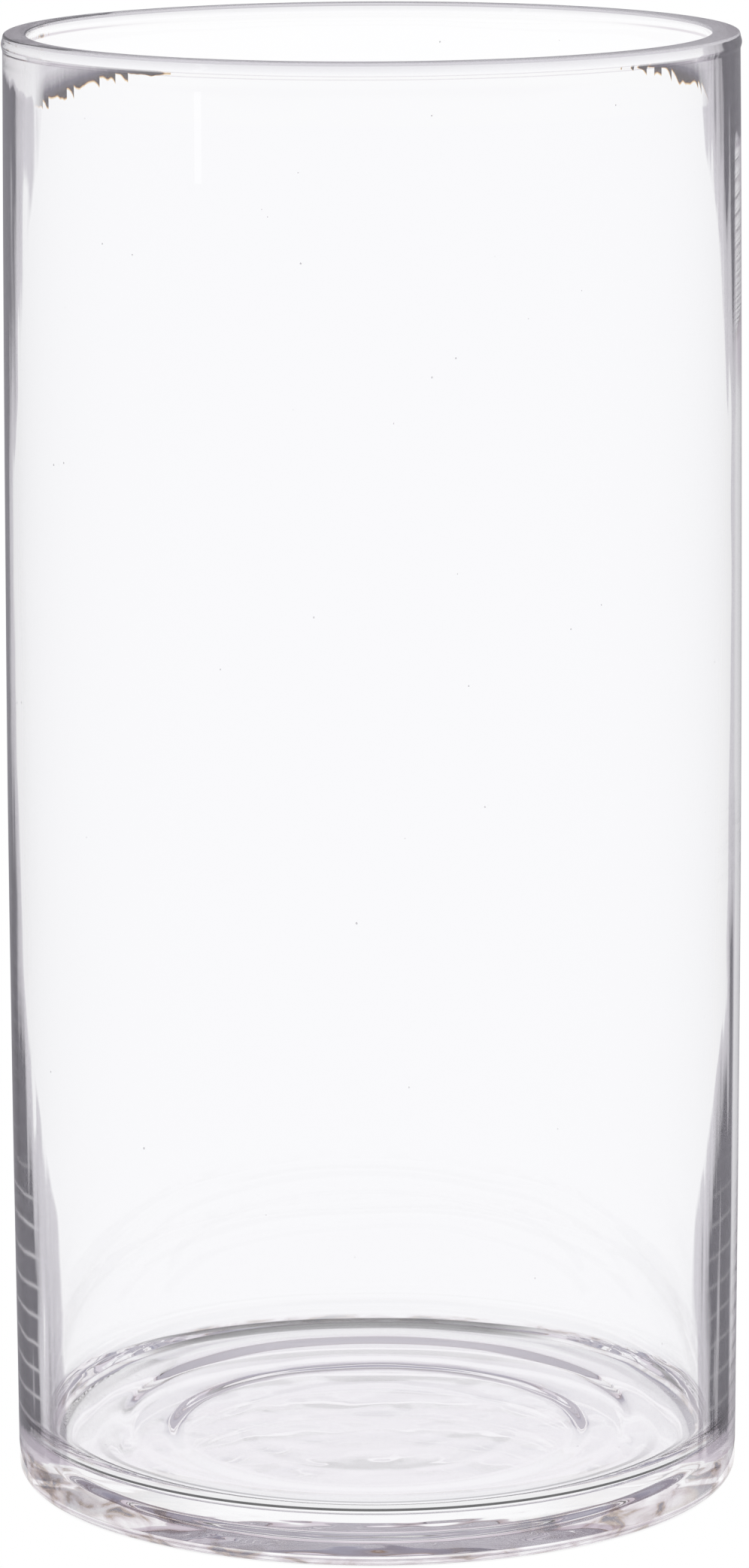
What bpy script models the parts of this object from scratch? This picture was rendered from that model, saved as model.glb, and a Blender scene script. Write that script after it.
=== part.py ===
"""Glass cylinder vase: one piece of clear soda-lime glass, open at the top.

The vessel is a turned shape. Its profile starts at the middle of the inner floor, goes up the
inner wall, over the flat rim, down the outer wall, round the heel, and under the foot to the
middle of the shallow recess. Units are metres, +Z is up, and the origin is the centre of the
foot, on the surface that the vase stands on.
"""

import math

import bmesh
import bpy

# Overall size.
HEIGHT = 0.3048
FOOT_RADIUS = 0.0761
NECK_RADIUS = 0.0756
BELLY_SWELL = 0.0008

# The wall, thinnest a third of the way down and thickest at the rim and at the heel.
WALL_THINNEST = 0.0032
WALL_AT_RIM = 0.0054
WALL_AT_HEEL = 0.0056
THINNEST_HEIGHT = 0.68 * HEIGHT

# The rim: a flat ground top with eased edges over a low fire-polished bead.
RIM_EDGE_RADIUS = 0.0006
BEAD_PROUD = 0.0003
BEAD_HEIGHT = 0.0030

# The base.
FLOOR_THICKNESS = 0.0105
INNER_CORNER_RADIUS = 0.0060
HEEL_RADIUS = 0.0028
DISH_RADIUS = 0.0535
DISH_DEPTH = 0.0005
DISH_SLOPE = 0.0035
RECESS_RADIUS = 0.0460
RECESS_DEPTH = 0.0008
RECESS_SLOPE = 0.0050

# How finely the turned shape is divided.
TURN_STEPS = 80
WALL_POINTS = 12
CORNER_POINTS = 6


def outer_radius(z):
    """The body's outer radius, from foot to neck, which swells very slightly at half height."""
    share = z / HEIGHT
    return FOOT_RADIUS + (NECK_RADIUS - FOOT_RADIUS) * share + BELLY_SWELL * math.sin(math.pi * share)


def wall_thickness(z):
    """The wall's thickness, which grows smoothly from its thinnest height to the rim and to the heel."""
    if z > THINNEST_HEIGHT:
        thickened, share = WALL_AT_RIM, (z - THINNEST_HEIGHT) / (HEIGHT - THINNEST_HEIGHT)
    else:
        thickened, share = WALL_AT_HEEL, (THINNEST_HEIGHT - z) / THINNEST_HEIGHT
    return WALL_THINNEST + (thickened - WALL_THINNEST) * share**2


def inner_radius(z):
    return outer_radius(z) - wall_thickness(z)


def arc(centre_r, centre_z, radius, start_deg, end_deg, points):
    """Points (r, z) along an arc, both ends included."""
    turned = []
    for i in range(points):
        angle = math.radians(start_deg + (end_deg - start_deg) * i / (points - 1))
        turned.append((centre_r + radius * math.cos(angle), centre_z + radius * math.sin(angle)))
    return turned


def inner_side():
    """The inner floor with its shallow dish, the rounded corner and the inner wall, to below the rim."""
    corner_top = FLOOR_THICKNESS + INNER_CORNER_RADIUS
    corner_centre = inner_radius(corner_top) - INNER_CORNER_RADIUS
    points = [(0.0, FLOOR_THICKNESS - DISH_DEPTH)]
    points.append((DISH_RADIUS - DISH_SLOPE / 2, FLOOR_THICKNESS - DISH_DEPTH))
    points.append((DISH_RADIUS + DISH_SLOPE / 2, FLOOR_THICKNESS))
    points += arc(corner_centre, corner_top, INNER_CORNER_RADIUS, -90, 0, CORNER_POINTS)
    wall_top = HEIGHT - RIM_EDGE_RADIUS
    for i in range(1, WALL_POINTS):
        z = corner_top + (wall_top - corner_top) * i / WALL_POINTS
        points.append((inner_radius(z), z))
    return points


def rim():
    """The eased inner edge, the flat top, the eased outer edge and the bead under it."""
    edge_z = HEIGHT - RIM_EDGE_RADIUS
    inner = inner_radius(HEIGHT) + RIM_EDGE_RADIUS
    outer = outer_radius(HEIGHT) - RIM_EDGE_RADIUS
    points = arc(inner, edge_z, RIM_EDGE_RADIUS, 180, 90, 3)
    points += arc(outer, edge_z, RIM_EDGE_RADIUS, 90, 0, 3)
    for share in (0.35, 0.65, 1.0):
        z = edge_z - BEAD_HEIGHT * share
        points.append((outer_radius(z) + BEAD_PROUD * math.sin(math.pi * share), z))
    return points


def outer_side():
    """The outer wall below the bead, the rounded heel and the foot with its recess."""
    wall_top = HEIGHT - RIM_EDGE_RADIUS - BEAD_HEIGHT
    points = []
    for i in range(1, WALL_POINTS):
        z = wall_top + (HEEL_RADIUS - wall_top) * i / WALL_POINTS
        points.append((outer_radius(z), z))
    heel_centre = outer_radius(HEEL_RADIUS) - HEEL_RADIUS
    points += arc(heel_centre, HEEL_RADIUS, HEEL_RADIUS, 0, -90, CORNER_POINTS)
    points.append((RECESS_RADIUS, 0.0))
    points.append((RECESS_RADIUS - RECESS_SLOPE, RECESS_DEPTH))
    points.append((0.0, RECESS_DEPTH))
    return points


def clear_glass():
    material = bpy.data.materials.new("clear_soda_lime_glass")
    material.use_nodes = True
    shader = material.node_tree.nodes["Principled BSDF"]
    shader.inputs["Base Color"].default_value = (0.965, 0.965, 0.98, 1.0)
    shader.inputs["Roughness"].default_value = 0.0
    shader.inputs["Metallic"].default_value = 0.0
    shader.inputs["IOR"].default_value = 1.52
    shader.inputs["Transmission Weight"].default_value = 1.0
    return material


def turned(name, profile, material, collection):
    """An object turned about Z from a profile of (r, z) points."""
    outline = bmesh.new()
    points = [outline.verts.new((r, 0.0, z)) for r, z in profile]
    for start, end in zip(points, points[1:]):
        outline.edges.new((start, end))
    mesh = bpy.data.meshes.new(name)
    outline.to_mesh(mesh)
    outline.free()
    mesh.materials.append(material)
    obj = bpy.data.objects.new(name, mesh)
    collection.objects.link(obj)
    screw = obj.modifiers.new("turn", "SCREW")
    screw.axis = "Z"
    screw.angle = 2 * math.pi
    screw.steps = TURN_STEPS
    screw.render_steps = TURN_STEPS
    screw.use_merge_vertices = True
    screw.merge_threshold = 0.00001
    screw.use_smooth_shade = True
    return obj


def main():
    for obj in list(bpy.data.objects):
        bpy.data.objects.remove(obj)
    parts = bpy.data.collections.new("glass_cylinder_vase")
    bpy.context.scene.collection.children.link(parts)
    profile = inner_side() + rim() + outer_side()
    turned("glass_vessel", profile, clear_glass(), parts)


main()
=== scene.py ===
import math

import bpy
from mathutils import Matrix, Vector


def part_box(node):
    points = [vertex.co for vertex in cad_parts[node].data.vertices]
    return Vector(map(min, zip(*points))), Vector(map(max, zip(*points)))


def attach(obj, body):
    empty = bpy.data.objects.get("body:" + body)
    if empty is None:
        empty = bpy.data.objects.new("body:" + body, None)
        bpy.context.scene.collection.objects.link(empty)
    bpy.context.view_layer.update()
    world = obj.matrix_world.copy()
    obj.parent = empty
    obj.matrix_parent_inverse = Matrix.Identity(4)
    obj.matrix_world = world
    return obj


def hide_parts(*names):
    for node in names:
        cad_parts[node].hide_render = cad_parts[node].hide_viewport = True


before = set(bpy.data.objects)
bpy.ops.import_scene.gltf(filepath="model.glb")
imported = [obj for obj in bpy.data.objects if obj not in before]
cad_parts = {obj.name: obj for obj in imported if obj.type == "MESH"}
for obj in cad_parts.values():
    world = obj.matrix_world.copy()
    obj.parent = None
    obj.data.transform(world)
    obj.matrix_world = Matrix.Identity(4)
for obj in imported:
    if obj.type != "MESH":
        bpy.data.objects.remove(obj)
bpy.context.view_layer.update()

CAD_LOW, CAD_HIGH = (Vector(corner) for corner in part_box("glass_vessel"))
MM = 0.001

# The vessel, from the frame's own box.
HEIGHT = CAD_HIGH.z - CAD_LOW.z
BELLY_RADIUS = (CAD_HIGH.x - CAD_LOW.x) / 2
FOOT_RADIUS = BELLY_RADIUS - 0.55 * MM
NECK_RADIUS = BELLY_RADIUS - 1.05 * MM
BELLY_SWELL = 0.8 * MM

# The wall is thinnest a third of the way down, and thickens to the rim and to the heel.
WALL_THINNEST = 3.2 * MM
WALL_AT_RIM = 5.4 * MM
WALL_AT_HEEL = 5.6 * MM
THINNEST_HEIGHT = 0.68 * HEIGHT

# The rim: a flat ground top with eased edges, over a low bead that the flame left.
RIM_EDGE = 0.6 * MM
BEAD_PROUD = 0.3 * MM
BEAD_HEIGHT = 3.0 * MM

# The base.
FLOOR = 10.5 * MM
FLOOR_TILT = 1.25 * MM
INNER_CORNER = 6.0 * MM
HEEL = 2.8 * MM
DISH_RADIUS = 53.5 * MM
DISH_DEPTH = 0.4 * MM
DISH_SLOPE = 3.5 * MM
RECESS_RADIUS = 46.0 * MM
RECESS_DEPTH = 0.8 * MM
RECESS_SLOPE = 5.0 * MM
PLUNGER_RING_RADIUS = 60.5 * MM
PLUNGER_RING_DEPTH = 0.07 * MM
BAFFLE_RING_RADIUS = 30.0 * MM
BAFFLE_RING_DEPTH = 0.03 * MM
MARK_WIDTH = 1.6 * MM

# Where the painted grey edge-on shade band starts at each share of the height, as 1 minus the cosine of the
# angle between the line of sight and the wall's normal. It is lowest where the wall is thickest.
BAND_LIMIT = [
    (0.0, 0.53), (0.10, 0.53), (0.16, 0.53), (0.20, 0.545),
    (0.25, 0.60), (0.30, 0.655), (0.35, 0.715), (0.42, 0.735),
    (0.55, 0.76), (0.68, 0.77), (0.77, 0.725), (0.84, 0.675),
    (0.87, 0.645), (0.90, 0.605), (0.93, 0.56), (1.0, 0.53),
]
COMB_DEPTH = 12 * MM
COMB_TOOTH = 5.5 * MM

# Spans that the painted light and shade patterns fade over, from nothing to full.
OUTER_SURFACE = (74.3 * MM, 74.8 * MM)
BAND_FOOT = (10 * MM, 16 * MM)
# Painted light falls on these sides of the band: paler towards +X, pale under the rim towards -X.
PAINTED_PALE_SIDE = (0.6 * BELLY_RADIUS, 0.85 * BELLY_RADIUS)
PAINTED_RIM_LIT_SIDE = (-0.6 * BELLY_RADIUS, -0.85 * BELLY_RADIUS)
LIT_END = (22.5 * MM, 20.5 * MM)
BEAD_SPAN = (2.2 * MM, 0.8 * MM)
RIM_TOP = (0.6 * MM, 0.4 * MM)
COMB_SPAN = (1.05 * COMB_DEPTH, COMB_DEPTH)
UNDER_BEAD = (2.2 * MM, 2.7 * MM)
BASE_SIDE = (9.2 * MM, 8.0 * MM)
BASE_SURFACE = (72.5 * MM, 74.0 * MM)

# Sizes of the lumps in the glass's painted light and shade patterns.
BAND_LUMP = 50 * MM
STREAK_WIDTH = 4 * MM
FINE_LINE_WIDTH = 0.8 * MM
TOOTH_WANDER = 7 * MM
BASE_PATCH = 9 * MM

# How finely each stretch of the profile is divided.
TURN_STEPS = 320
FLOOR_STEPS = 54
WALL_STEPS = 80
CORNER_STEPS = 10
RECESS_STEPS = 28

# What the mould and the flame left on the surfaces.
BORE_SHIFT = -0.5 * MM
WALL_WAVE = 0.10 * MM
WALL_WAVE_LENGTH = 38 * MM
MOULD_RING = 0.008 * MM
MOULD_RING_PITCH = 6.2 * MM
MOULD_RING_TOP = 75 * MM
FLOOR_WAVE = 0.045 * MM
FLOOR_RING_PITCH = 9.0 * MM
ORANGE_PEEL = 0.02 * MM
HEEL_PEEL = 0.007 * MM
ORANGE_PEEL_LENGTH = 9 * MM

# Spans of height or radius that the unevenness fades over.
WALL_FOOT = (12 * MM, 30 * MM)
FLOOR_EDGE = (66 * MM, 58 * MM)
RECESS_EDGE = (52 * MM, 46 * MM)
HEEL_TOP = (12 * MM, 16 * MM)
HEEL_EDGE = (66 * MM, 74 * MM)
TILT_SPAN = (45 * MM, 17 * MM)
BORE_SHIFT_SPAN = (12 * MM, 120 * MM)

# Seeds, which are the tiny gas bubbles in the glass.
SEEDS_PER_SQUARE_METRE = 220
SEED_RADIUS = (0.06 * MM, 0.18 * MM)
SEED_DEPTH = (0.8 * MM, 2.2 * MM)


def linear(hex_colour):
    """An sRGB hex colour as the linear values that a shader takes."""
    values = [int(hex_colour[i : i + 2], 16) / 255 for i in (1, 3, 5)]
    return [v / 12.92 if v <= 0.04045 else ((v + 0.055) / 1.055) ** 2.4 for v in values] + [1.0]


def add(tree, kind, inputs=(), **settings):
    """Adds one node with its settings and links.

    inputs holds what the first sockets take, in order, or maps sockets by name or number. Each is a
    value, a socket, or a node, which stands for its first output.
    """
    made = tree.nodes.new(kind)
    for name, value in settings.items():
        setattr(made, name, value)
    fed = inputs if isinstance(inputs, dict) else dict(enumerate(inputs))
    for key, value in fed.items():
        if hasattr(value, "outputs"):
            value = value.outputs[0]
        if isinstance(value, bpy.types.NodeSocket):
            tree.links.new(value, made.inputs[key])
        else:
            made.inputs[key].default_value = value
    return made


def product(tree, *factors):
    """Everything here multiplied together."""
    total = factors[0]
    for factor in factors[1:]:
        total = add(tree, "ShaderNodeMath", (total, factor), operation="MULTIPLY")
    return total


def from_axis(tree, x, y):
    """How far a place is from the vessel's axis."""
    across = add(tree, "ShaderNodeCombineXYZ", (x, y))
    return add(tree, "ShaderNodeVectorMath", (across,), operation="LENGTH").outputs["Value"]


# ---------------------------------------------------------------- the vessel's profile


def outer_radius(z):
    """The body's outer radius, which swells very slightly at half height."""
    share = z / HEIGHT
    return FOOT_RADIUS + (NECK_RADIUS - FOOT_RADIUS) * share + BELLY_SWELL * math.sin(math.pi * share)


def wall_thickness(z):
    """Thinnest a third of the way down, growing smoothly to the rim and to the heel."""
    if z > THINNEST_HEIGHT:
        thickened, share = WALL_AT_RIM, (z - THINNEST_HEIGHT) / (HEIGHT - THINNEST_HEIGHT)
    else:
        thickened, share = WALL_AT_HEEL, (THINNEST_HEIGHT - z) / THINNEST_HEIGHT
    return WALL_THINNEST + (thickened - WALL_THINNEST) * share**2


def inner_radius(z):
    return outer_radius(z) - wall_thickness(z)


def step_down(r, radius, slope):
    """From 0 outside this radius to 1 inside it, eased over the slope."""
    share = min(1.0, max(0.0, (radius + slope / 2 - r) / slope))
    return (1 - math.cos(math.pi * share)) / 2


def mark(r, middle, depth):
    """How deep a soft round groove is at this radius."""
    return depth * math.exp(-(((r - middle) / MARK_WIDTH) ** 2))


def arc(centre_r, centre_z, radius, start_deg, end_deg, steps):
    """Points (r, z) along an arc, both ends included."""
    angles = [math.radians(start_deg + (end_deg - start_deg) * i / steps) for i in range(steps + 1)]
    return [(centre_r + radius * math.cos(a), centre_z + radius * math.sin(a)) for a in angles]


def inner_side():
    """The inner floor, its rounded corner, the inner wall and the inner half of the rim."""
    corner_top = FLOOR + INNER_CORNER
    floor_edge = inner_radius(corner_top) - INNER_CORNER
    floor_radii = [floor_edge * i / FLOOR_STEPS for i in range(FLOOR_STEPS)]
    points = []
    for r in floor_radii:
        dished = DISH_DEPTH * step_down(r, DISH_RADIUS, DISH_SLOPE)
        points.append((r, FLOOR - dished - mark(r, PLUNGER_RING_RADIUS, PLUNGER_RING_DEPTH)))
    points += arc(floor_edge, corner_top, INNER_CORNER, -90, 0, CORNER_STEPS)
    edge_z = HEIGHT - RIM_EDGE
    for i in range(1, WALL_STEPS):
        z = corner_top + (edge_z - corner_top) * (i / WALL_STEPS) ** 1.4
        points.append((inner_radius(z), z))
    return points + arc(inner_radius(HEIGHT) + RIM_EDGE, edge_z, RIM_EDGE, 180, 90, 4)


def outer_side():
    """The outer half of the rim, its bead, the outer wall, the heel, the foot and its recess."""
    edge_z = HEIGHT - RIM_EDGE
    points = arc(outer_radius(HEIGHT) - RIM_EDGE, edge_z, RIM_EDGE, 90, 0, 4)
    for i in range(1, 11):
        z = edge_z - BEAD_HEIGHT * i / 10
        points.append((outer_radius(z) + BEAD_PROUD * math.sin(math.pi * i / 10) ** 2, z))
    wall_top = edge_z - BEAD_HEIGHT
    for i in range(1, WALL_STEPS):
        z = wall_top + (HEEL - wall_top) * i / WALL_STEPS
        points.append((outer_radius(z), z))
    heel_centre = outer_radius(HEEL) - HEEL
    points += arc(heel_centre, HEEL, HEEL, 0, -90, CORNER_STEPS)
    for i in range(1, 10):
        points.append((heel_centre + (RECESS_RADIUS - heel_centre) * i / 10, 0.0))
    for i in range(9):
        r = RECESS_RADIUS - RECESS_SLOPE * i / 8
        points.append((r, RECESS_DEPTH * step_down(r, RECESS_RADIUS - RECESS_SLOPE / 2, RECESS_SLOPE)))
    recess_inner = RECESS_RADIUS - RECESS_SLOPE
    for i in range(1, RECESS_STEPS + 1):
        r = recess_inner * (1 - i / RECESS_STEPS)
        points.append((r, RECESS_DEPTH + mark(r, BAFFLE_RING_RADIUS, BAFFLE_RING_DEPTH)))
    return points


def profile_line():
    """The profile as a line of points in the XZ plane, marked 1 on the inner side and 0 on the outer one."""
    inner, outer = inner_side(), outer_side()
    points = [(r, 0.0, z) for r, z in inner + outer]
    line = bpy.data.meshes.new("profile")
    line.from_pydata(points, [(i, i + 1) for i in range(len(points) - 1)], [])
    inside = line.attributes.new("inside", "FLOAT", "POINT")
    inside.data.foreach_set("value", [1.0] * len(inner) + [0.0] * len(outer))
    return line


# ---------------------------------------------------------------- the turned vessel and its seeds


def new_tree(name, inputs):
    """A Geometry Nodes tree with these named inputs, given as (name, socket type)."""
    tree = bpy.data.node_groups.new(name, "GeometryNodeTree")
    tree.interface.new_socket("Geometry", in_out="INPUT", socket_type="NodeSocketGeometry")
    for label, kind in inputs:
        tree.interface.new_socket(label, in_out="INPUT", socket_type=kind)
    tree.interface.new_socket("Geometry", in_out="OUTPUT", socket_type="NodeSocketGeometry")
    return tree


def noise(tree, place, side, seed, length, squash=1.0):
    """Smooth noise from -1 to 1 over lumps of this length, longer up and down by squash."""
    stretch = add(tree, "ShaderNodeVectorMath", (place, (1.0, 1.0, squash)), operation="MULTIPLY")
    scale = add(tree, "ShaderNodeMath", (1.0, length), operation="DIVIDE")
    where = add(tree, "ShaderNodeMath", (side, 7.3, seed), operation="MULTIPLY_ADD")
    lumps = add(
        tree,
        "ShaderNodeTexNoise",
        {"Vector": stretch, "W": where, "Scale": scale, "Detail": 1.0},
        noise_dimensions="4D",
    )
    return add(tree, "ShaderNodeMath", (lumps, 4.0, -2.0), operation="MULTIPLY_ADD")


def vessel_tree():
    """Turns the profile round Z, and gives the walls, the floor and the foot their slight unevenness."""
    tree = new_tree(
        "turned_vessel",
        [
            ("Turn Steps", "NodeSocketInt"),
            ("Height", "NodeSocketFloat"),
            ("Bore Shift", "NodeSocketFloat"),
            ("Wall Wave", "NodeSocketFloat"),
            ("Wall Wave Length", "NodeSocketFloat"),
            ("Mould Ring", "NodeSocketFloat"),
            ("Mould Ring Pitch", "NodeSocketFloat"),
            ("Mould Ring Top", "NodeSocketFloat"),
            ("Floor Tilt", "NodeSocketFloat"),
            ("Floor Wave", "NodeSocketFloat"),
            ("Floor Ring Pitch", "NodeSocketFloat"),
            ("Orange Peel", "NodeSocketFloat"),
            ("Orange Peel Length", "NodeSocketFloat"),
            ("Heel Peel", "NodeSocketFloat"),
            ("Seed", "NodeSocketFloat"),
            ("Material", "NodeSocketMaterial"),
        ],
    )
    given = add(tree, "NodeGroupInput").outputs
    seed = given["Seed"]

    # A grid: one row of points for each point of the profile, one column for each step of the turn.
    rows = add(
        tree, "GeometryNodeAttributeDomainSize", {"Geometry": given["Geometry"]}
    ).outputs["Point Count"]
    columns = add(tree, "ShaderNodeMath", (given["Turn Steps"], 1.0), operation="ADD")
    grid = add(
        tree,
        "GeometryNodeMeshGrid",
        {"Size X": 1.0, "Size Y": 1.0, "Vertices X": rows, "Vertices Y": columns},
    )
    spot = add(tree, "ShaderNodeSeparateXYZ", (add(tree, "GeometryNodeInputPosition"),)).outputs
    last_row = add(tree, "ShaderNodeMath", (rows, 1.0), operation="SUBTRACT")
    row = add(
        tree,
        "ShaderNodeMath",
        (
            add(
                tree,
                "ShaderNodeMath",
                (add(tree, "ShaderNodeMath", (spot[0], 0.5), operation="ADD"), last_row),
                operation="MULTIPLY",
            ),
        ),
        operation="ROUND",
    )
    theta = add(
        tree,
        "ShaderNodeMath",
        (add(tree, "ShaderNodeMath", (spot[1], 0.5), operation="ADD"), 2 * math.pi),
        operation="MULTIPLY",
    )
    read_place = add(
        tree,
        "GeometryNodeSampleIndex",
        {"Geometry": given["Geometry"], "Value": add(tree, "GeometryNodeInputPosition"), "Index": row},
        data_type="FLOAT_VECTOR",
    )
    side = add(
        tree,
        "GeometryNodeSampleIndex",
        {
            "Geometry": given["Geometry"],
            "Value": add(tree, "GeometryNodeInputNamedAttribute", {"Name": "inside"}, data_type="FLOAT"),
            "Index": row,
        },
        data_type="FLOAT",
    )
    radius, _, height = add(tree, "ShaderNodeSeparateXYZ", (read_place,)).outputs
    outward = add(
        tree,
        "ShaderNodeCombineXYZ",
        (
            add(tree, "ShaderNodeMath", (theta,), operation="COSINE"),
            add(tree, "ShaderNodeMath", (theta,), operation="SINE"),
        ),
    )
    round_it = add(tree, "ShaderNodeVectorMath", {0: outward, "Scale": radius}, operation="SCALE")
    lift = add(tree, "ShaderNodeCombineXYZ", {2: height})
    turned = add(tree, "ShaderNodeVectorMath", (round_it, lift), operation="ADD")

    # The walls: long waves from the blowing, and shallow rings from the mould low down inside.
    above_base = add(tree, "ShaderNodeMapRange", (height, *WALL_FOOT), interpolation_type="SMOOTHSTEP")
    below_rim = add(
        tree,
        "ShaderNodeMapRange",
        (
            height,
            add(tree, "ShaderNodeMath", (given["Height"], 4 * MM), operation="SUBTRACT"),
            add(tree, "ShaderNodeMath", (given["Height"], 14 * MM), operation="SUBTRACT"),
        ),
        interpolation_type="SMOOTHSTEP",
    )
    on_wall = add(tree, "ShaderNodeMath", (above_base, below_rim), operation="MULTIPLY")
    waves = noise(tree, turned, side, seed, given["Wall Wave Length"], 0.45)
    share_in = add(tree, "ShaderNodeMath", (side, 0.5, 0.5), operation="MULTIPLY_ADD")
    wall_out = product(tree, waves, share_in, given["Wall Wave"])
    phase = add(
        tree,
        "ShaderNodeMath",
        (
            add(tree, "ShaderNodeMath", (height, 2 * math.pi), operation="MULTIPLY"),
            given["Mould Ring Pitch"],
        ),
        operation="DIVIDE",
    )
    wander = noise(tree, turned, side, add(tree, "ShaderNodeMath", (seed, 3.1), operation="ADD"), 0.05)
    ring = add(
        tree,
        "ShaderNodeMath",
        (add(tree, "ShaderNodeMath", (wander, 1.6, phase), operation="MULTIPLY_ADD"),),
        operation="SINE",
    )
    low_down = add(
        tree,
        "ShaderNodeMath",
        (
            add(
                tree,
                "ShaderNodeMapRange",
                (height, given["Mould Ring Top"], 20 * MM),
                interpolation_type="SMOOTHSTEP",
            ),
            side,
        ),
        operation="MULTIPLY",
    )
    ring_out = product(tree, ring, low_down, given["Mould Ring"])
    wall_move = add(
        tree,
        "ShaderNodeMath",
        (add(tree, "ShaderNodeMath", (wall_out, ring_out), operation="ADD"), on_wall),
        operation="MULTIPLY",
    )

    # The floor: uneven rings round the middle. Underneath: the foot's orange peel.
    on_floor = add(tree, "ShaderNodeMapRange", (radius, *FLOOR_EDGE), interpolation_type="SMOOTHSTEP")
    floor_wander = noise(
        tree, turned, side, add(tree, "ShaderNodeMath", (seed, 5.7), operation="ADD"), 0.030
    )
    floor_phase = add(
        tree,
        "ShaderNodeMath",
        (
            add(tree, "ShaderNodeMath", (radius, 2 * math.pi), operation="MULTIPLY"),
            given["Floor Ring Pitch"],
        ),
        operation="DIVIDE",
    )
    floor_ring = add(
        tree,
        "ShaderNodeMath",
        (add(tree, "ShaderNodeMath", (floor_wander, 2.2, floor_phase), operation="MULTIPLY_ADD"),),
        operation="SINE",
    )
    floor_lump = noise(
        tree, turned, side, add(tree, "ShaderNodeMath", (seed, 8.9), operation="ADD"), 0.022
    )
    floor_shape = add(
        tree,
        "ShaderNodeMath",
        (
            add(tree, "ShaderNodeMath", (floor_ring, 0.12, floor_lump), operation="MULTIPLY_ADD"),
            given["Floor Wave"],
        ),
        operation="MULTIPLY",
    )
    floor_move = product(tree, floor_shape, on_floor, side)
    in_recess = add(
        tree,
        "ShaderNodeMath",
        (
            add(tree, "ShaderNodeMapRange", (radius, *RECESS_EDGE), interpolation_type="SMOOTHSTEP"),
            add(tree, "ShaderNodeMath", (1.0, side), operation="SUBTRACT"),
        ),
        operation="MULTIPLY",
    )
    peel = noise(
        tree,
        turned,
        side,
        add(tree, "ShaderNodeMath", (seed, 11.3), operation="ADD"),
        given["Orange Peel Length"],
    )
    peel_move = product(tree, peel, in_recess, given["Orange Peel"])
    low_wall = add(
        tree,
        "ShaderNodeMath",
        (1.0, add(tree, "ShaderNodeMapRange", (height, *HEEL_TOP), interpolation_type="SMOOTHSTEP")),
        operation="SUBTRACT",
    )
    on_heel = product(
        tree,
        add(tree, "ShaderNodeMapRange", (radius, *HEEL_EDGE), interpolation_type="SMOOTHSTEP"),
        low_wall,
        add(tree, "ShaderNodeMath", (1.0, side), operation="SUBTRACT"),
    )
    heel_move = product(tree, peel, on_heel, given["Heel Peel"])

    # The floor rises slightly to one side, and takes the foot of the inner wall with it.
    across = add(
        tree,
        "ShaderNodeMath",
        (
            add(tree, "ShaderNodeMath", (theta,), operation="SINE"),
            add(tree, "ShaderNodeMath", (radius, 0.070), operation="DIVIDE"),
        ),
        operation="MULTIPLY",
    )
    tilted = product(
        tree,
        across,
        given["Floor Tilt"],
        side,
        add(tree, "ShaderNodeMapRange", (height, *TILT_SPAN), interpolation_type="SMOOTHSTEP"),
    )

    # The bore stands slightly to one side, but not at the floor.
    shift = product(
        tree,
        side,
        given["Bore Shift"],
        add(tree, "ShaderNodeMapRange", (height, *BORE_SHIFT_SPAN), interpolation_type="SMOOTHSTEP"),
    )
    radial = add(
        tree,
        "ShaderNodeMath",
        (wall_move, add(tree, "ShaderNodeMath", (heel_move,), operation="ABSOLUTE")),
        operation="SUBTRACT",
    )
    push = add(tree, "ShaderNodeVectorMath", {0: outward, "Scale": radial}, operation="SCALE")
    nudge = add(
        tree,
        "ShaderNodeCombineXYZ",
        {
            0: shift,
            2: add(
                tree,
                "ShaderNodeMath",
                (tilted, add(tree, "ShaderNodeMath", (floor_move, peel_move), operation="ADD")),
                operation="ADD",
            ),
        },
    )
    moved = add(tree, "ShaderNodeVectorMath", (push, nudge), operation="ADD")
    final = add(tree, "ShaderNodeVectorMath", (turned, moved), operation="ADD")

    placed = add(tree, "GeometryNodeSetPosition", {"Geometry": grid.outputs["Mesh"], "Position": final})
    closed = add(tree, "GeometryNodeMergeByDistance", {"Geometry": placed, "Distance": 1e-6})
    smooth = add(tree, "GeometryNodeSetShadeSmooth", {"Geometry": closed})
    real = add(tree, "GeometryNodeRealizeInstances", {"Geometry": smooth})
    done = add(tree, "GeometryNodeSetMaterial", {"Geometry": real, "Material": given["Material"]})
    add(tree, "NodeGroupOutput", (done,))
    return tree


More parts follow.
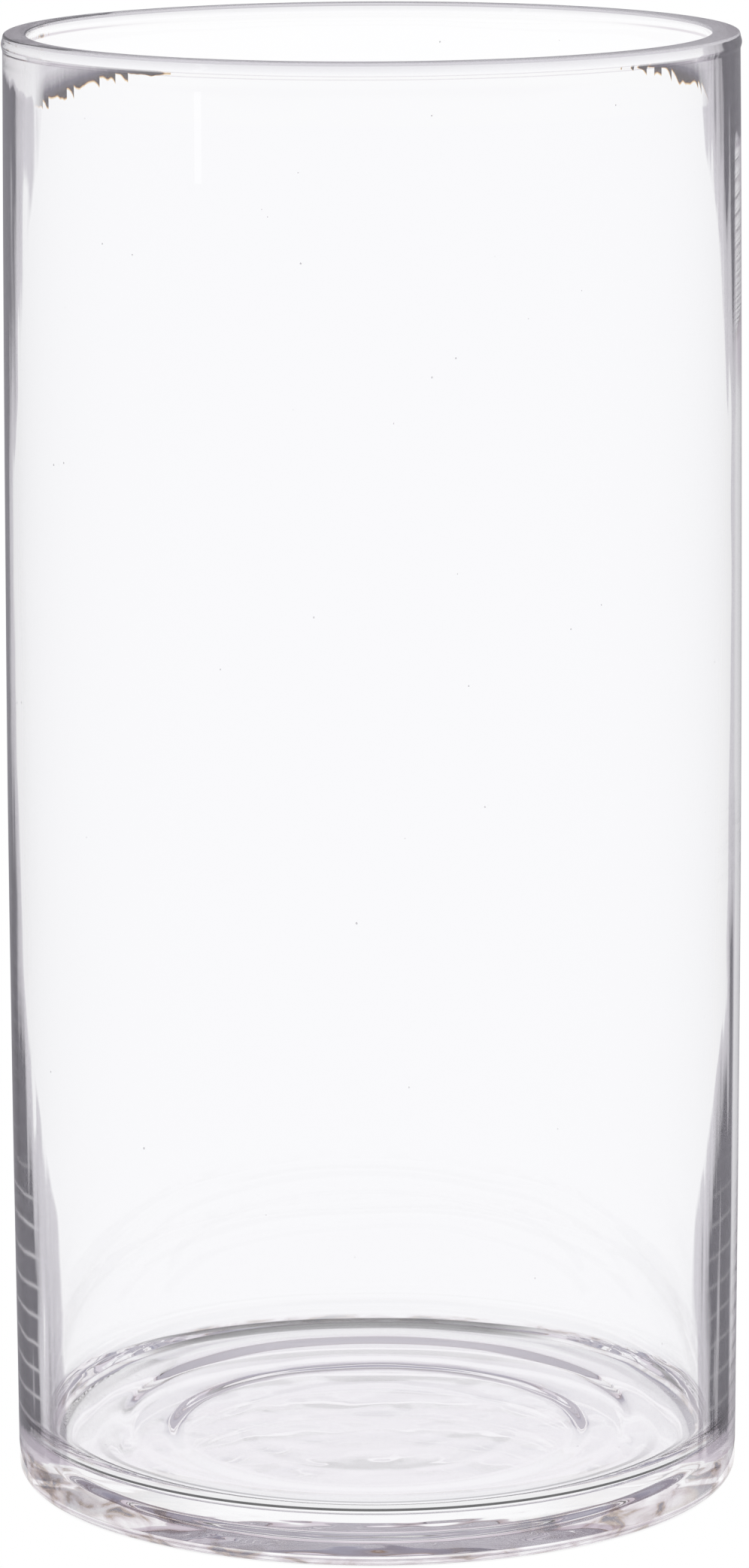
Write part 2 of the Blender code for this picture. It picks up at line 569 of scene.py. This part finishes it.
def seeds_tree():
    """Scatters seeds just under the surface, as closed bubbles that face into their own gas."""
    tree = new_tree(
        "seeds",
        [
            ("Seeds Per Square Metre", "NodeSocketFloat"),
            ("Smallest Radius", "NodeSocketFloat"),
            ("Largest Radius", "NodeSocketFloat"),
            ("Least Depth", "NodeSocketFloat"),
            ("Most Depth", "NodeSocketFloat"),
            ("Seed", "NodeSocketInt"),
            ("Material", "NodeSocketMaterial"),
        ],
    )
    given = add(tree, "NodeGroupInput").outputs
    scatter = add(
        tree,
        "GeometryNodeDistributePointsOnFaces",
        {"Mesh": given["Geometry"], "Density": given["Seeds Per Square Metre"], "Seed": given["Seed"]},
        distribute_method="RANDOM",
    )
    deep = add(
        tree,
        "FunctionNodeRandomValue",
        {"Min": given["Least Depth"], "Max": given["Most Depth"], "Seed": 3},
        data_type="FLOAT",
    )
    down = add(tree, "ShaderNodeMath", (deep.outputs["Value"], -1.0), operation="MULTIPLY")
    sink = add(
        tree, "ShaderNodeVectorMath", {0: scatter.outputs["Normal"], "Scale": down}, operation="SCALE"
    )
    sunk = add(tree, "GeometryNodeSetPosition", {"Geometry": scatter.outputs["Points"], "Offset": sink})
    bubble = add(tree, "GeometryNodeMeshIcoSphere", {"Radius": 1.0, "Subdivisions": 2})
    size = add(
        tree,
        "FunctionNodeRandomValue",
        {"Min": given["Smallest Radius"], "Max": given["Largest Radius"], "Seed": 5},
        data_type="FLOAT",
    )
    shape = add(
        tree,
        "ShaderNodeVectorMath",
        {0: (1.0, 1.0, 1.5), "Scale": size.outputs["Value"]},
        operation="SCALE",
    )
    bubbles = add(
        tree,
        "GeometryNodeInstanceOnPoints",
        {"Points": sunk, "Instance": bubble.outputs["Mesh"], "Scale": shape},
    )
    real = add(tree, "GeometryNodeRealizeInstances", {"Geometry": bubbles})
    smooth = add(tree, "GeometryNodeSetShadeSmooth", {"Geometry": real})
    hollow = add(tree, "GeometryNodeFlipFaces", {"Mesh": smooth})
    joined = add(tree, "GeometryNodeJoinGeometry")
    tree.links.new(given["Geometry"], joined.inputs[0])
    tree.links.new(hollow.outputs[0], joined.inputs[0])
    done = add(tree, "GeometryNodeSetMaterial", {"Geometry": joined, "Material": given["Material"]})
    add(tree, "NodeGroupOutput", (done,))
    return tree


def grow(name, mesh, tree, values):
    """A plain mesh from a mesh and a tree. values maps the tree's input names to what they take."""
    helper = bpy.data.objects.new(name + "_helper", mesh)
    bpy.context.scene.collection.objects.link(helper)
    modifier = helper.modifiers.new(name, "NODES")
    modifier.node_group = tree
    for item in tree.interface.items_tree:
        if item.in_out == "INPUT" and item.name in values:
            modifier[item.identifier] = values[item.name]
    bpy.context.view_layer.update()
    made = bpy.data.meshes.new_from_object(helper.evaluated_get(bpy.context.evaluated_depsgraph_get()))
    made.name = name
    bpy.data.objects.remove(helper)
    return made


# ---------------------------------------------------------------- materials


def with_stops(ramp, stops):
    """Gives a colour ramp these (position, hex colour) stops."""
    elements = ramp.color_ramp.elements
    for element, (position, colour) in zip(elements, (stops[0], stops[-1])):
        element.position, element.color = position, linear(colour)
    for position, colour in stops[1:-1]:
        elements.new(position).color = linear(colour)
    return ramp


def clear_glass():
    """Clear soda-lime glass, blown into a mould and flame-polished: water-white face on, with painted shade
    and light in its colour: a grey band edge on, a grey rim top, a dark comb under the rim and patches on
    the base's side.
    """
    material = bpy.data.materials.new("clear_soda_lime_glass")
    material.use_nodes = True
    tree = material.node_tree
    shader = tree.nodes["Principled BSDF"]
    shader.inputs["Roughness"].default_value = 0.0
    shader.inputs["IOR"].default_value = 1.52
    shader.inputs["Transmission Weight"].default_value = 1.0
    place = add(tree, "ShaderNodeTexCoord").outputs["Object"]
    x, y, z = add(tree, "ShaderNodeSeparateXYZ", (place,)).outputs
    radius = from_axis(tree, x, y)
    outer_wall = add(tree, "ShaderNodeMapRange", (radius, *OUTER_SURFACE))
    above_base = add(tree, "ShaderNodeMapRange", (z, *BAND_FOOT))
    below_rim = add(tree, "ShaderNodeMath", (HEIGHT, z), operation="SUBTRACT")
    edge_on = add(tree, "ShaderNodeLayerWeight", {"Blend": 0.5}).outputs["Facing"]

    # Painted shade: where the wall turns edge on, the colour is darkened into a grey band, standing in for
    # the long path of light inside the wall and the dark surroundings it bends into view. How far in this
    # painted band reaches follows the wall's thickness.
    share = add(tree, "ShaderNodeMath", (z, HEIGHT), operation="DIVIDE")
    limit = add(tree, "ShaderNodeFloatCurve", {"Value": share})
    line = limit.mapping.curves[0]
    line.points[0].location, line.points[1].location = BAND_LIMIT[0], BAND_LIMIT[-1]
    for spot in BAND_LIMIT[1:-1]:
        line.points.new(*spot)
    limit.mapping.update()
    lumps = add(tree, "ShaderNodeTexNoise", {"Vector": place, "Scale": 1 / BAND_LUMP, "Detail": 3.0})
    start = add(
        tree,
        "ShaderNodeMath",
        (limit, add(tree, "ShaderNodeMath", (lumps, 0.10, -0.05), operation="MULTIPLY_ADD")),
        operation="ADD",
    )
    into = add(
        tree,
        "ShaderNodeMath",
        (
            add(tree, "ShaderNodeMath", (edge_on, start), operation="SUBTRACT"),
            add(tree, "ShaderNodeMath", (1.0, start), operation="SUBTRACT"),
        ),
        operation="DIVIDE",
    )

    # Upright streaks from the drawing of the glass, which vary the painted shade band, and painted light
    # that makes the band paler in the upper wall.
    drawn = add(tree, "ShaderNodeVectorMath", (place, (1.0, 1.0, 0.06)), operation="MULTIPLY")
    streaks = add(tree, "ShaderNodeTexNoise", {"Vector": drawn, "Scale": 1 / STREAK_WIDTH, "Detail": 2.0})
    streaked = add(
        tree,
        "ShaderNodeMath",
        (
            add(tree, "ShaderNodeMath", (streaks, 0.5), operation="SUBTRACT"),
            add(tree, "ShaderNodeMapRange", {0: into, 1: 0.0, 2: 0.1, 4: 0.8}),
        ),
        operation="MULTIPLY",
    )
    # Painted light: the +X side, where the band is made paler.
    painted_pale_side = add(tree, "ShaderNodeMapRange", (x, *PAINTED_PALE_SIDE))
    paler = add(tree, "ShaderNodeMapRange", (z, 0.205, 0.285, 1.0, 0.68))
    paler = add(
        tree,
        "ShaderNodeMath",
        (paler, add(tree, "ShaderNodeMath", (painted_pale_side, 1.15), operation="MULTIPLY")),
        operation="MAXIMUM",
    )
    into = add(
        tree,
        "ShaderNodeMath",
        (add(tree, "ShaderNodeMath", (into, streaked), operation="ADD"), paler),
        operation="MULTIPLY",
    )

    # Painted light on the +X side, standing in for a thinner wall there: the band is kept pale at half
    # height and given a pale outer edge.
    rising = add(tree, "ShaderNodeMapRange", (share, 0.38, 0.50))
    falling = add(tree, "ShaderNodeMapRange", (share, 0.84, 0.74))
    half_way = product(tree, rising, falling, painted_pale_side)
    thinned = add(tree, "ShaderNodeMath", (into, 0.05), operation="MINIMUM")
    into = add(tree, "ShaderNodeMix", {0: half_way, 2: into, 3: thinned}, data_type="FLOAT")
    outermost = add(tree, "ShaderNodeMapRange", (edge_on, 0.79, 0.83))
    under_neck = add(tree, "ShaderNodeMapRange", (share, 0.945, 0.925))
    sliver = product(tree, outermost, under_neck, painted_pale_side)
    into = add(
        tree,
        "ShaderNodeMix",
        {0: sliver, 2: into, 3: add(tree, "ShaderNodeMath", (into, 0.01), operation="MINIMUM")},
        data_type="FLOAT",
    )

    # Painted light on the -X side, standing in for light that the thick rim lets in from above: the band is
    # made pale just under the rim, down to a slanting end.
    painted_rim_lit_side = add(tree, "ShaderNodeMapRange", (x, *PAINTED_RIM_LIT_SIDE))
    slanted = add(
        tree,
        "ShaderNodeMath",
        (
            edge_on,
            0.012,
            add(tree, "ShaderNodeMath", (streaks, 0.006, below_rim), operation="MULTIPLY_ADD"),
        ),
        operation="MULTIPLY_ADD",
    )
    lit_end = add(tree, "ShaderNodeMapRange", (slanted, *LIT_END))
    lit = add(tree, "ShaderNodeMath", (lit_end, painted_rim_lit_side), operation="MULTIPLY")
    into = add(
        tree,
        "ShaderNodeMix",
        {0: lit, 2: into, 3: add(tree, "ShaderNodeMath", (into, 0.012), operation="MINIMUM")},
        data_type="FLOAT",
    )
    # Painted shade: a faint grey just under the bead, and a plain grey on the rim's flat top.
    bead = add(tree, "ShaderNodeMapRange", (below_rim, *BEAD_SPAN, 0.0, 0.022))
    into = add(tree, "ShaderNodeMath", (into, bead), operation="MAXIMUM")
    top = add(tree, "ShaderNodeMapRange", (below_rim, *RIM_TOP))
    into = add(
        tree,
        "ShaderNodeMath",
        (into, add(tree, "ShaderNodeMath", (1.0, top), operation="SUBTRACT")),
        operation="MULTIPLY",
    )
    into = add(
        tree,
        "ShaderNodeMath",
        (top, 0.10, product(tree, into, outer_wall, above_base)),
        operation="MULTIPLY_ADD",
    )
    # Painted shade: the band's colours, clear face on and grey to near black edge on.
    band = with_stops(
        add(tree, "ShaderNodeValToRGB", (into,)),
        [(0.0, "#FEFEFF"), (0.04, "#C0BCC4"), (0.20, "#A4A0A8"), (0.34, "#2A282E"), (1.0, "#151418")],
    )

    # Painted light: the mould's shallow rings, low on the wall, are painted across the shade band as thin
    # pale rungs.
    turn = add(tree, "ShaderNodeMath", (z, 2 * math.pi / MOULD_RING_PITCH), operation="MULTIPLY")
    crest = add(
        tree,
        "ShaderNodeMath",
        (
            add(
                tree,
                "ShaderNodeMath",
                (add(tree, "ShaderNodeMath", (lumps, 9.0, turn), operation="MULTIPLY_ADD"),),
                operation="SINE",
            ),
            0.5,
            0.5,
        ),
        operation="MULTIPLY_ADD",
    )
    low = add(tree, "ShaderNodeMapRange", {0: z, 1: MOULD_RING_TOP, 2: 0.8 * MOULD_RING_TOP, 4: 0.38})
    low = add(
        tree,
        "ShaderNodeMath",
        (low, add(tree, "ShaderNodeMath", (painted_pale_side, -0.8, 1.0), operation="MULTIPLY_ADD")),
        operation="MULTIPLY",
    )
    in_band = add(tree, "ShaderNodeMapRange", (into, 0.15, 0.35))
    rung = product(tree, add(tree, "ShaderNodeMath", (crest, 24.0), operation="POWER"), low, in_band)
    ringed = add(
        tree, "ShaderNodeMix", {0: rung, 6: band, 7: linear("#D8D4DC")}, data_type="RGBA"
    ).outputs[2]

    # Painted shade with painted colour fringes: just under the rim, where the thickened wall acts as a
    # prism, the colour is painted dark and saw-toothed, fringed with colour, and the comb is smaller towards
    # +X.
    azimuth = add(tree, "ShaderNodeMath", (y, x), operation="ARCTAN2")
    turned = add(tree, "ShaderNodeVectorMath", (place, (1.0, 1.0, 0.0)), operation="MULTIPLY")
    jitter = add(tree, "ShaderNodeTexNoise", {"Vector": turned, "Scale": 1 / TOOTH_WANDER, "Detail": 2.0})
    fine_lines = add(
        tree,
        "ShaderNodeTexNoise",
        {"Vector": drawn, "Scale": 1 / FINE_LINE_WIDTH, "Detail": 1.0},
    )
    teeth = add(
        tree,
        "ShaderNodeMath",
        (
            jitter,
            4.0,
            add(tree, "ShaderNodeMath", (azimuth, BELLY_RADIUS / COMB_TOOTH), operation="MULTIPLY"),
        ),
        operation="MULTIPLY_ADD",
    )
    tooth = add(
        tree,
        "ShaderNodeMath",
        (add(tree, "ShaderNodeMath", (teeth,), operation="FRACT"), 1.4),
        operation="POWER",
    )
    tooth_size = add(tree, "ShaderNodeMath", (jitter, -0.15), operation="MULTIPLY")
    smaller_comb = add(
        tree, "ShaderNodeMapRange", (x, 0.2 * BELLY_RADIUS, 0.6 * BELLY_RADIUS, 0.16, 0.27)
    )
    comb_limit = add(
        tree,
        "ShaderNodeMath",
        (
            below_rim,
            0.43 / COMB_DEPTH,
            add(tree, "ShaderNodeMath", (tooth, tooth_size, smaller_comb), operation="MULTIPLY_ADD"),
        ),
        operation="MULTIPLY_ADD",
    )
    past = add(tree, "ShaderNodeMath", (edge_on, comb_limit), operation="SUBTRACT")
    lined = add(
        tree,
        "ShaderNodeMath",
        (add(tree, "ShaderNodeMath", (fine_lines, 0.5), operation="SUBTRACT"), 0.05, past),
        operation="MULTIPLY_ADD",
    )
    fringe = with_stops(
        add(tree, "ShaderNodeValToRGB", (past,)),
        [(0.0, "#FFFFFF"), (0.008, "#F0C890"), (0.018, "#6A3A20"), (0.030, "#2A282E")],
    )
    depth_in = add(
        tree, "ShaderNodeMath", (lined, product(tree, tooth, tooth_size, -1.0)), operation="SUBTRACT"
    )
    inner_tone = with_stops(
        add(tree, "ShaderNodeValToRGB", (depth_in,)),
        [(0.0, "#3A3638"), (0.06, "#504C56"), (0.12, "#8A868E"), (0.20, "#C0BCC4")],
    )
    inside_fringe = add(tree, "ShaderNodeMapRange", (past, 0.014, 0.026))
    comb = add(
        tree, "ShaderNodeMix", {0: inside_fringe, 6: fringe, 7: inner_tone}, data_type="RGBA"
    ).outputs[2]
    shallow = add(tree, "ShaderNodeMapRange", (below_rim, *COMB_SPAN))
    under_bead = add(tree, "ShaderNodeMapRange", (below_rim, *UNDER_BEAD))
    face_on = add(tree, "ShaderNodeMapRange", (edge_on, 0.60, 0.54))
    in_comb = product(tree, shallow, under_bead, face_on, outer_wall)
    tone = add(tree, "ShaderNodeMix", {0: in_comb, 6: ringed, 7: comb}, data_type="RGBA").outputs[2]

    # Painted light and shade: where the base's side turns away, its colour is painted in patches of pink,
    # brown and slate, standing in for light that has gone round inside it.
    squashed = add(tree, "ShaderNodeVectorMath", (place, (1.0, 1.0, 2.2)), operation="MULTIPLY")
    patches = add(
        tree,
        "ShaderNodeTexNoise",
        {"Vector": squashed, "Scale": 1 / BASE_PATCH, "Detail": 3.0, "Distortion": 0.6},
    )
    patch_tones = with_stops(
        add(tree, "ShaderNodeValToRGB", (patches,)),
        [(0.36, "#FEFEFF"), (0.45, "#EAE4E8"), (0.53, "#CFC4CA"), (0.59, "#A08C80"), (0.65, "#6A6670")],
    )
    at_base = add(tree, "ShaderNodeMapRange", (z, *BASE_SIDE))
    turned_away = add(tree, "ShaderNodeMapRange", (edge_on, 0.04, 0.22))
    outer_base = add(tree, "ShaderNodeMapRange", (radius, *BASE_SURFACE))
    patched = product(tree, at_base, turned_away, outer_base)
    tone = add(tree, "ShaderNodeMix", {0: patched, 6: tone, 7: patch_tones}, data_type="RGBA").outputs[2]
    tree.links.new(tone, shader.inputs["Base Color"])
    return material


def emitter(name, hex_colour, strength):
    """A plain surface that gives off this much light."""
    material = bpy.data.materials.new(name)
    material.use_nodes = True
    tree = material.node_tree
    tree.nodes.clear()
    light = add(tree, "ShaderNodeEmission", {"Color": linear(hex_colour), "Strength": strength})
    add(tree, "ShaderNodeOutputMaterial", {"Surface": light.outputs[0]})
    return material


# ---------------------------------------------------------------- the stage


def stage_mesh(name, points, faces, material):
    """An object of the stage, from its points and faces."""
    mesh = bpy.data.meshes.new(name)
    mesh.from_pydata(points, [], faces)
    mesh.materials.append(material)
    made = bpy.data.objects.new(name, mesh)
    bpy.context.scene.collection.objects.link(made)
    return made


def seen_in_gloss_only(made):
    """Shows a stage object only in what the glass mirrors."""
    made.visible_camera = False
    made.visible_diffuse = False
    made.visible_transmission = False
    made.visible_shadow = False


def ring_of(rows, start_deg=0.0, end_deg=360.0, steps=72):
    """Points and faces of a surface turned round Z through these (r, z) rows."""
    points, faces = [], []
    for r, z in rows:
        for i in range(steps + 1):
            azimuth = math.radians(start_deg + (end_deg - start_deg) * i / steps)
            points.append((r * math.cos(azimuth), r * math.sin(azimuth), z))
    for row in range(len(rows) - 1):
        for i in range(steps):
            a = row * (steps + 1) + i
            faces.append((a, a + 1, a + steps + 2, a + steps + 1))
    return points, faces


def hoop(tree, radius, low, high):
    """1 between two radii, with soft edges."""
    up = add(tree, "ShaderNodeMapRange", (radius, low, low + 0.8 * MM))
    down = add(tree, "ShaderNodeMapRange", (radius, high + 0.8 * MM, high))
    return add(tree, "ShaderNodeMath", (up, down), operation="MULTIPLY")


def contact_shade():
    """The sweep under the foot: lit through the glass, and shaded in hoops where the foot touches it."""
    material = emitter("shaded_sweep", "#FFFFFF", 1.0)
    tree = material.node_tree
    x, y, _ = add(
        tree, "ShaderNodeSeparateXYZ", (add(tree, "ShaderNodeTexCoord").outputs["Object"],)
    ).outputs
    radius = from_axis(tree, x, y)
    behind = add(tree, "ShaderNodeMath", (y, radius), operation="DIVIDE")
    skewed = add(
        tree,
        "ShaderNodeMath",
        (add(tree, "ShaderNodeMath", (x, radius), operation="DIVIDE"), -0.12, behind),
        operation="MULTIPLY_ADD",
    )
    at_back = add(tree, "ShaderNodeMapRange", (skewed, 0.76, 0.90))
    at_front = add(tree, "ShaderNodeMapRange", (behind, -0.10, -0.45))
    under_foot = add(tree, "ShaderNodeMapRange", (radius, 66 * MM, 66.5 * MM, 1.04, 0.92))
    outside = add(tree, "ShaderNodeMapRange", (radius, 74 * MM, 75 * MM, 0.0, 0.08))
    light = add(tree, "ShaderNodeMath", (under_foot, outside), operation="ADD")
    for low, high, where, strength in (
        (71.5 * MM, 79.5 * MM, at_back, 0.80),
        (64.6 * MM, 69.0 * MM, at_front, 0.86),
        (57.8 * MM, 60.0 * MM, at_front, 0.40),
    ):
        shaded = product(tree, hoop(tree, radius, low, high), where, strength)
        light = add(
            tree,
            "ShaderNodeMath",
            (light, add(tree, "ShaderNodeMath", (1.0, shaded), operation="SUBTRACT")),
            operation="MULTIPLY",
        )
    shader = next(node for node in tree.nodes if node.type == "EMISSION")
    tree.links.new(light.outputs[0], shader.inputs["Strength"])
    return material


def stage():
    half = 30.0  # metres: wide enough to fill the view to the horizon
    corners = [
        (-half, -half, -0.05 * MM),
        (half, -half, -0.05 * MM),
        (half, half, -0.05 * MM),
        (-half, half, -0.05 * MM),
    ]
    stage_mesh("floor", corners, [(0, 1, 2, 3)], emitter("white_sweep", "#FFFFFF", 1.0))
    points, faces = ring_of([(0.0005, -0.02 * MM), (0.0840, -0.02 * MM)])
    stage_mesh("floor_under_foot", points, faces, contact_shade())
    # What the outside of the wall mirrors: a dim room, and an upright strip light.
    points, faces = ring_of([(0.080, 0.2 * MM), (1.30, 0.2 * MM), (1.30, 1.6)])
    seen_in_gloss_only(stage_mesh("dim_room", points, faces, emitter("dim_room_grey", "#9C9AA0", 1.0)))
    points, faces = ring_of([(1.25, 0.175), (1.25, 1.3)], -144.6, -142.2, 6)
    seen_in_gloss_only(
        stage_mesh("strip_light", points, faces, emitter("strip_light_white", "#FFFFFF", 1.0))
    )


# What stands round the vessel, by degrees above the horizon: sweep, wall, dark gap and ceiling.
ROOM_BY_HEIGHT = [
    (3.6, "#FFFFFF"), (5.0, "#E2DDE2"), (10.0, "#DED6DE"), (20.5, "#DED6DE"), (21.7, "#8A7260"),
    (23.5, "#9C949C"), (37.0, "#9A98A8"), (40.0, "#B0AEBA"), (50.0, "#B8B4BC"), (70.0, "#D0CCD2"),
]


def room():
    """The room by height: white at the horizon, a grey wall, a dark gap, and a pale ceiling."""
    world = bpy.data.worlds.new("studio")
    bpy.context.scene.world = world
    world.use_nodes = True
    tree = world.node_tree
    back = tree.nodes["Background"]
    back.inputs["Strength"].default_value = 1.0
    up = add(
        tree, "ShaderNodeSeparateXYZ", (add(tree, "ShaderNodeTexCoord").outputs["Generated"],)
    ).outputs[2]
    height = add(
        tree,
        "ShaderNodeMath",
        (add(tree, "ShaderNodeMath", (up,), operation="ARCSINE"), math.pi / 2),
        operation="DIVIDE",
    )
    tones = with_stops(
        add(tree, "ShaderNodeValToRGB", (height,)),
        [(degrees / 90, colour) for degrees, colour in ROOM_BY_HEIGHT],
    )
    tree.links.new(tones.outputs[0], back.inputs["Color"])


def camera():
    """A long lens from a little above the rim, looking down at the vessel's middle."""
    lens = bpy.data.cameras.new("camera")
    lens.lens = 160.72
    lens.clip_end = 60
    eye = bpy.data.objects.new("camera", lens)
    bpy.context.scene.collection.objects.link(eye)
    distance, rise, look = 1.4661, math.radians(10.9636), 0.1474
    place = Vector((0, -distance * math.cos(rise), look + distance * math.sin(rise)))
    aim = Vector((0, 0, look)) - place
    eye.matrix_world = (
        Matrix.Translation(place)
        @ aim.to_track_quat("-Z", "Y").to_matrix().to_4x4()
        @ Matrix.Rotation(math.radians(-0.2388), 4, "Z")
    )
    bpy.context.scene.camera = eye


glass = clear_glass()
plain_vessel = grow(
    "turned",
    profile_line(),
    vessel_tree(),
    {
        "Turn Steps": TURN_STEPS,
        "Height": HEIGHT,
        "Bore Shift": BORE_SHIFT,
        "Wall Wave": WALL_WAVE,
        "Wall Wave Length": WALL_WAVE_LENGTH,
        "Mould Ring": MOULD_RING,
        "Mould Ring Pitch": MOULD_RING_PITCH,
        "Mould Ring Top": MOULD_RING_TOP,
        "Floor Tilt": FLOOR_TILT,
        "Floor Wave": FLOOR_WAVE,
        "Floor Ring Pitch": FLOOR_RING_PITCH,
        "Orange Peel": ORANGE_PEEL,
        "Orange Peel Length": ORANGE_PEEL_LENGTH,
        "Heel Peel": HEEL_PEEL,
        "Seed": 2.0,
        "Material": glass,
    },
)
mesh = grow(
    "vessel",
    plain_vessel,
    seeds_tree(),
    {
        "Seeds Per Square Metre": float(SEEDS_PER_SQUARE_METRE),
        "Smallest Radius": SEED_RADIUS[0],
        "Largest Radius": SEED_RADIUS[1],
        "Least Depth": SEED_DEPTH[0],
        "Most Depth": SEED_DEPTH[1],
        "Seed": 4,
        "Material": glass,
    },
)
vessel = bpy.data.objects.new("vessel", mesh)
bpy.context.scene.collection.objects.link(vessel)
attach(vessel, "root")
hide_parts("glass_vessel")

stage()
room()
camera()
scene = bpy.context.scene
scene.view_settings.view_transform = "Standard"
# Light goes round many times inside the heavy base, and shows black where it is cut short.
scene.cycles.max_bounces = 96
scene.cycles.transmission_bounces = 96
scene.cycles.glossy_bounces = 96
